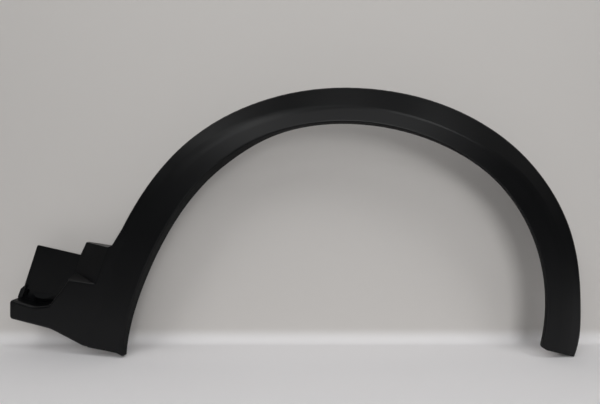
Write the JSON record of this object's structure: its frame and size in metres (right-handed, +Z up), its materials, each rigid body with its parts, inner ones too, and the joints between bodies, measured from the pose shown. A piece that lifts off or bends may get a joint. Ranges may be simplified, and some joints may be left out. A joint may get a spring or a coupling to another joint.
{
  "type": "wheel arch trim",
  "caption": "Curved wheel arch trim in black grained plastic: an angular arch strip with a turned-in lip that widens at one foot into a stepped sill end.",
  "frame": {"origin": "centre of the hole in the clip tower at the crown of the arch, on the back face of the tower's roof", "axes": "+X along the car towards the plain foot, +Y into the car body, +Z up as the trim stands on the car"},
  "size_m": [1.1074, 0.0938, 0.5151],
  "materials": {
    "moulding": "fine grain"
  },
  "bodies": {
    "root": {"arch_moulding": "moulding"}
  },
  "joints": []
}
